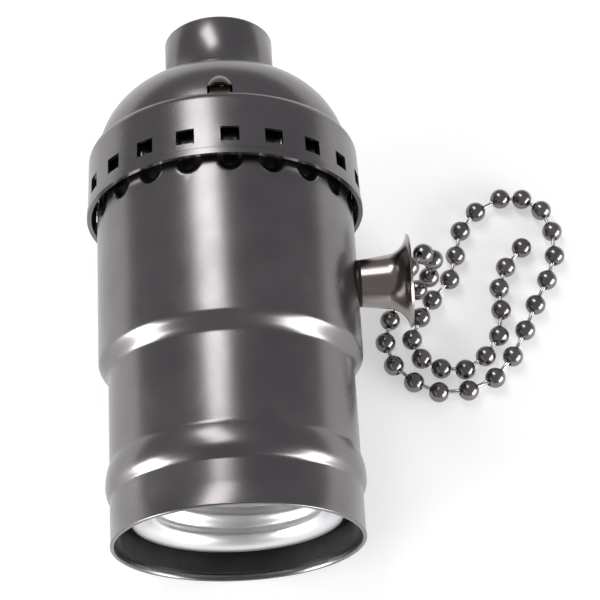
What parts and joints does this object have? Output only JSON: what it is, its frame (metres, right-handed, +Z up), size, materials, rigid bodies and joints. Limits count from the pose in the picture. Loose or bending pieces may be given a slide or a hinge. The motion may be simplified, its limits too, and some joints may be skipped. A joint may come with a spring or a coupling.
{
  "type": "pull chain lamp socket",
  "caption": "Metal-cased screw lamp socket with a ball chain that leaves by a flared bell, a pierced snap cap and a threaded neck; shown lying on its side.",
  "frame": {"origin": "centre of the flat end face of the threaded neck", "axes": "+X along the bell that the chain leaves by, +Y along the socket from the lamp's mouth to the neck, +Z up; the socket lies on its side, so its axis rises about 3 degrees toward the neck"},
  "size_m": [0.0741, 0.0833, 0.0416],
  "materials": {
    "dark_plated_metal": "satin",
    "polished_dark_nickel": "polished",
    "black_moulding": "gloss",
    "fibre": "matt",
    "aluminium": "satin",
    "brass": "bright",
    "copper": "bright",
    "steel": "zinc plated",
    "nylon": "matt",
    "green_screw": "satin"
  },
  "bodies": {
    "socket": {"cap": "dark_plated_metal", "neck_collar": "dark_plated_metal", "outer_shell": "dark_plated_metal", "insulating_liner": "fibre", "lower_body": "black_moulding", "screw_shell": "aluminium", "centre_contact": "brass", "centre_rivet": "brass", "shell_rivets": "brass", "switch_housing": "black_moulding", "assembly_screws": "steel", "terminal_screws": "brass", "line_terminal": "brass", "neutral_terminal": "steel", "supply_leaf": "brass", "lamp_leaf": "brass", "neutral_strap": "brass", "guide_bush": "brass", "bell_washer": "fibre", "bell_mouth": "polished_dark_nickel", "lever_axle": "steel", "axle_spacer": "nylon", "return_spring": "steel", "earth_strip": "copper", "earth_screw": "green_screw"},
    "chain": {"chain_clip": "steel", "clip_pin": "steel", "chain_beads": "polished_dark_nickel", "chain_links": "steel"},
    "lever": {"pull_lever": "steel", "pawl": "steel"},
    "rotor": {"ratchet_wheel": "steel", "rotor_drum": "nylon", "rotor_contacts": "brass"}
  },
  "joints": [
    {"name": "chain_pull", "type": "slide", "parent": "socket", "child": "chain", "axis": [1, 0, 0], "range_m": [0, 0.008], "stiffness_N_per_m": 250, "springref_m": -0.008, "deforming": ["return_spring"]},
    {"name": "lever_swing", "type": "hinge", "parent": "socket", "child": "lever", "pos_m": [-0.003, -0.03693, -0.00201], "axis": [0, -0.0543, 0.9985], "range_deg": [0, 67.4]},
    {"name": "rotor_turn", "type": "hinge", "parent": "socket", "child": "rotor", "pos_m": [-0.003, -0.03693, -0.00201], "axis": [0, -0.0543, 0.9985], "range_deg": [0, 60.1]}
  ],
  "couplings": [
    {"joint": "lever_swing", "follows": "chain_pull", "rad_per_m": 147},
    {"joint": "rotor_turn", "follows": "chain_pull", "rad_per_m": 130.9}
  ]
}
